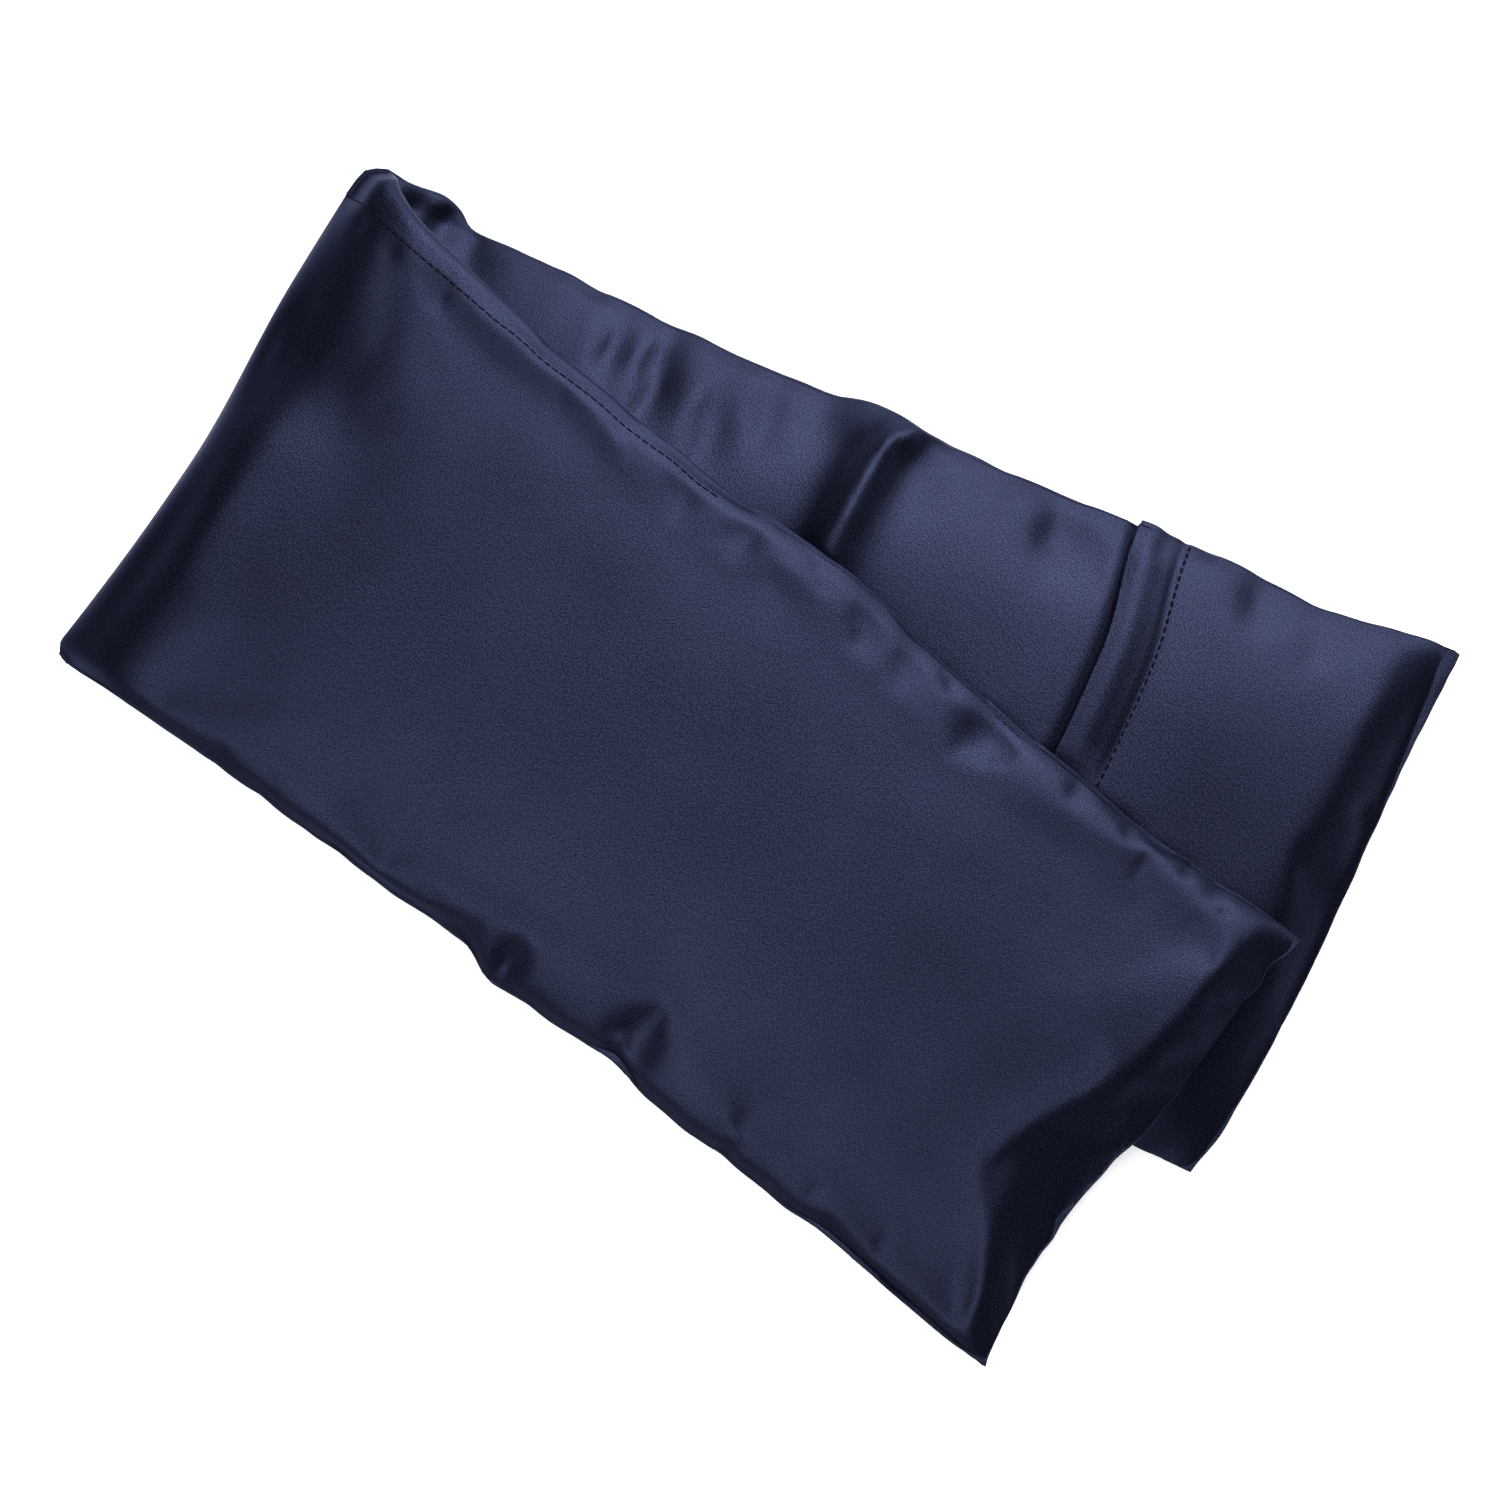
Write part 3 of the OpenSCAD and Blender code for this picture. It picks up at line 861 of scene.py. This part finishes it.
def thread_piece(name, paths, body, material, node, size=STITCH):
    """Rows of stitches, each a small capsule half sunk in the cloth, along (points, normals) paths."""
    (length, width), height = size, STITCH_HEIGHT
    points, faces = [], []
    for path, normals in paths:
        run = np.concatenate([[0], np.cumsum(np.linalg.norm(np.diff(path, axis=0), axis=1))])
        for centre in np.arange(STITCH_PITCH / 2, run[-1], STITCH_PITCH):
            ends = [[np.interp(at, run, path[:, k]) for k in range(3)] for at in (centre - 0.5, centre + 0.5)]
            middle = (np.array(ends[0]) + ends[1]) / 2
            t = unit(np.array(ends[1]) - ends[0])
            n = np.array([np.interp(centre, run, normals[:, k]) for k in range(3)])
            n = unit(n - t * float(n @ t))
            side = np.cross(n, t)
            base = len(points)
            for along, thick in CAPSULE:
                for q in range(1 if thick == 0 else SIDES):
                    a = 2 * math.pi * q / SIDES
                    out = side * width / 2 * math.cos(a) + n * height / 2 * math.sin(a)
                    points.append(middle + t * along * length + thick * out)
            rings = [base + 1 + SIDES * k for k in range(len(CAPSULE) - 2)]
            for q in range(SIDES):
                r = (q + 1) % SIDES
                faces.append((base, rings[0] + r, rings[0] + q))
                for low, high in zip(rings, rings[1:]):
                    faces.append((low + q, low + r, high + r, high + q))
                faces.append((rings[-1] + q, rings[-1] + r, base + 1 + SIDES * len(rings)))
    piece = new_mesh(name, place(points), faces)
    return finish_piece(piece, material, [node], body)


def in_seam(front, back, rows, side):
    """A path just inside a side seam, midway between the two skins."""
    rows = np.asarray(rows, float)
    v = np.full(rows.shape, side * IN_SEAM)
    f, n, _ = front.sample(rows, front.column_at(v))
    b = back.sample(rows, back.column_at(v))[0]
    return (f + b) / 2, n


def seam_threads(leaf, front, back, name):
    """Stitches in the side and end seams. They show on top of the seam only where the roll lays it open."""
    start, end = 2 * BAND_ROWS, front.grid.shape[0] - 2
    rows = np.arange(start, end)
    sides = [in_seam(front, back, rows, side) for side in (-1, 1)]
    if leaf.mirrored:
        shown = int(front.row_at(SHOWN_SEAM))
        sides[1] = in_seam(front, back, np.arange(shown, end), 1)
        open_rows = np.arange(1.0, shown)
        path, normals, _ = front.sample(open_rows, np.full(open_rows.shape, front.grid.shape[1] - 1.6))
        sides.append((path, normals))
    thread_piece(f"side_seam_stitches_{name}", sides, leaf.body, thread,
                 f"side_seam_threads_{name}", SEAM_STITCH)
    columns = np.arange(2.0, front.grid.shape[1] - 2)
    last = np.full(columns.shape, front.grid.shape[0] - 1.5)
    f, n, _ = front.sample(last, columns)
    b = back.sample(last, columns + back.extra)[0]
    thread_piece(f"end_seam_stitches_{name}", [((f + b) / 2, n)], leaf.body, thread,
                 f"end_seam_thread_{name}")


# ---------------------------------------------------------------- the inner bag and its fill
BAG_IN, FILL_IN = 2.6, 3.8  # how far inside the cover the bag and its seeds lie
BAG_FOLD, BAG_END = 18.0, 14.0  # distance of the bag's ends from the fold and from the closed end
BAG_SIDE, FILL_SIDE = 0.86, 0.03  # v of the bag's sides, and how much further in the seeds end
CHANNEL = 8.0  # width of the flat channel between two chambers
RIM_REACH, RIM_V = 9.0, 0.12  # over what distance a chamber fills out, along the strip and in v
CHAMBER_GAP, CHAMBER_END = 1.5, 3.0  # room between the seeds and the channel's stitches or the bag's end
GRAIN, GRAIN_SIZE = 0.25, 1.6  # the seeds' ripple


def between(front, back, reach, v, inset, pinch):
    """Points between the two skins, `inset` from each, drawn together where pinch is 0."""
    f = front.sample(front.row_at(reach), front.column_at(v))[0]
    b = back.sample(back.row_at(reach), back.column_at(v))[0]
    gap = np.linalg.norm(b - f, axis=-1, keepdims=True)
    share = np.minimum(inset / np.maximum(gap, 1e-6), 0.42)
    share = 0.5 - (0.5 - share) * pinch[..., None]
    return f + (b - f) * share, b + (f - b) * share


def rim_pinch(reach, v, lines=()):
    """0 on the rim of a patch and on the given lines across it, 1 inside."""
    inside = np.minimum((reach - reach.min()) / RIM_REACH, (reach.max() - reach) / RIM_REACH)
    inside = np.minimum(inside, (np.abs(v).max() - np.abs(v)) / RIM_V)
    for at in lines:
        inside = np.minimum(inside, np.abs(reach - at) / RIM_REACH)
    return np.sqrt(np.clip(inside, 0, 1) * (2 - np.clip(inside, 0, 1)))


def patch(reach0, reach1, side, rows=110, columns=44):
    """Grids of reach and v over a part of a leaf."""
    along, across = np.linspace(reach0, reach1, rows), np.linspace(-side, side, columns)
    return np.meshgrid(along, across, indexing="ij")


def inner_bag(leaf, front, back, name):
    """A leaf's half of the cotton bag: two sheets, their seam, the channel's stitches and the seeds."""
    reach0, reach1 = BAG_FOLD, leaf.length - BAG_END
    channel = (reach0 + reach1) / 2
    reach, v = patch(reach0, reach1, BAG_SIDE)
    lines = (channel - CHANNEL / 2, channel + CHANNEL / 2)
    pinch = rim_pinch(reach, v, lines)
    pinch[(reach > lines[0]) & (reach < lines[1])] = 0.0
    sheets = between(front, back, reach, v, BAG_IN, pinch)
    strip = np.stack([reach, v * HALF_W], axis=-1)
    for half, grid, other in (("front", sheets[0], sheets[1]), ("back", sheets[1], sheets[0])):
        like = grid - other + (grid - other).mean(axis=(0, 1))
        out = facing(grid, like)
        grid = grid + out * 0.1
        piece = sheet_piece(f"inner_bag_{half}_{name}_cotton", grid, out, strip, COTTON)
        finish_piece(piece, cotton, [f"inner_bag_{half}_{name}"], leaf.body)
    mid = (sheets[0] + sheets[1]) / 2
    up = facing(mid, facing(mid, np.broadcast_to([0.0, 0.0, 1.0], mid.shape)))
    rim = [np.concatenate([a[1:-1, 0], a[-2, 1:-1], a[-2:0:-1, -1], a[1, -2:0:-1]]) for a in (mid, up)]
    thread_piece(f"inner_bag_seam_{name}", [rim], leaf.body, cotton_thread,
                 f"inner_bag_seam_threads_{name}")
    rows = [int(np.argmin(np.abs(reach[:, 0] - at))) for at in lines]
    thread_piece(f"channel_quilting_{name}", [(mid[r], up[r]) for r in rows], leaf.body, cotton_thread,
                 f"channel_stitches_{name}")
    for part, r0, r1 in (("fold", reach0 + CHAMBER_END, lines[0] - CHAMBER_GAP),
                         ("end", lines[1] + CHAMBER_GAP, reach1 - CHAMBER_END)):
        flax_fill(leaf, front, back, f"{name}_{part}_side", r0, r1)


def flax_fill(leaf, front, back, name, reach0, reach1):
    """One chamber's seeds: two grids that meet all round their rim."""
    reach, v = patch(reach0, reach1, BAG_SIDE - FILL_SIDE, rows=60)
    low, high = between(front, back, reach, v, FILL_IN, rim_pinch(reach, v))
    ripple = np.array([[GRAIN * noise.noise(Vector((a / GRAIN_SIZE, b * HALF_W / GRAIN_SIZE, 3.0)))
                        for a, b in zip(ra, va)] for ra, va in zip(reach, v)])
    rows, columns = reach.shape
    rim = {(i, j) for i, j in np.ndindex(rows, columns) if i in (0, rows - 1) or j in (0, columns - 1)}
    number, points = {}, []
    for layer, grid in enumerate((low, high)):
        for place_in_grid in np.ndindex(rows, columns):
            on_rim = place_in_grid in rim
            key = (0 if on_rim else layer, *place_in_grid)
            if key not in number:
                number[key] = len(points)
                points.append(grid[place_in_grid] + (0, 0, 0 if on_rim else ripple[place_in_grid]))
    faces = []
    for layer in (0, 1):
        for i in range(rows - 1):
            for j in range(columns - 1):
                quad = [number[(0 if c in rim else layer, *c)]
                        for c in ((i, j), (i, j + 1), (i + 1, j + 1), (i + 1, j))]
                faces.append(quad[::-1] if layer else quad)
    if not leaf.mirrored:
        faces = [face[::-1] for face in faces]
    piece = new_mesh(f"flax_{name}", place(points), faces)
    finish_piece(piece, flax, [f"flax_fill_{name}"], leaf.body)


# ---------------------------------------------------------------- assembly
lower_front, lower_back = settled_leaf(LOWER)
upper_front, upper_back = settled_leaf(UPPER)
cover_panel(LOWER, lower_front, "cover_front_lower", "front_panel_lower", 2 * BAND_ROWS)
cover_panel(UPPER, upper_front, "cover_front_upper", "front_panel_upper", 2 * BAND_ROWS)
cover_panel(UPPER, upper_back, "cover_back_upper", "back_panel_upper")
fold_band(lower_front, upper_front)
long_panel(lower_back)
flap(lower_back)
for leaf, front, back in ((LOWER, lower_front, lower_back), (UPPER, upper_front, upper_back)):
    seam_threads(leaf, front, back, leaf.name)
    inner_bag(leaf, front, back, leaf.name)


# ---------------------------------------------------------------- studio
def look_at(thing, eye, target):
    """Puts a camera or light at eye, turned to target."""
    thing.location = eye
    thing.rotation_euler = (Vector(target) - Vector(eye)).to_track_quat("-Z", "Y").to_euler()


def add_camera():
    """Nearly overhead, turned so that the strip runs down to the right of the picture."""
    camera = bpy.data.objects.new("camera", bpy.data.cameras.new("camera"))
    bpy.context.scene.collection.objects.link(camera)
    camera.data.lens, camera.data.sensor_width = 85.0, 36.0
    distance, elevation, turn = 0.935, math.radians(86), math.radians(-32)
    target = Vector((0.006, -0.001, 0.012))
    back = Vector((-math.sin(turn), -math.cos(turn), 0))
    rise = Vector((0, 0, distance * math.sin(elevation)))
    look_at(camera, target + back * distance * math.cos(elevation) + rise, target)
    bpy.context.scene.camera = camera


def add_light(name, direction, distance, size, power):
    """A rectangular softbox that faces the origin."""
    light = bpy.data.lights.new(name, "AREA")
    light.shape, light.size, light.size_y = "RECTANGLE", size[0], size[1]
    light.energy = power
    thing = bpy.data.objects.new(name, light)
    bpy.context.scene.collection.objects.link(thing)
    look_at(thing, Vector(direction).normalized() * distance, (0, 0, 0))
    return thing


def add_floor():
    floor = new_mesh("floor", [(-4, -4, 0), (4, -4, 0), (4, 4, 0), (-4, 4, 0)], [(0, 1, 2, 3)], False)
    material, tree, shader = node_tree("pale_floor")
    shader.inputs["Base Color"].default_value = (0.93, 0.93, 0.93, 1)
    shader.inputs["Roughness"].default_value = 0.9
    shader.inputs["Emission Color"].default_value = (1, 1, 1, 1)
    shader.inputs["Emission Strength"].default_value = 0.3
    floor.data.materials.append(material)


add_camera()
add_floor()
# The overhead softbox is narrow along the strip, so that slopes of the cloth along it fall dark.
add_light("overhead", (-0.06, -0.02, 1.0), 1.15, (0.62, 3.0), 24).rotation_euler = (0, 0, 0)
add_light("key", (-0.08, 1.0, 0.65), 1.5, (0.9, 1.5), 42)
add_light("fill", (-0.08, -1.0, 1.1), 1.6, (0.6, 1.0), 8)
world = bpy.data.worlds.new("studio")
bpy.context.scene.world = world
world.use_nodes = True
backdrop = world.node_tree.nodes["Background"]
backdrop.inputs["Color"].default_value = (1, 1, 1, 1)
backdrop.inputs["Strength"].default_value = 0.12
bpy.context.scene.view_settings.view_transform = "Standard"
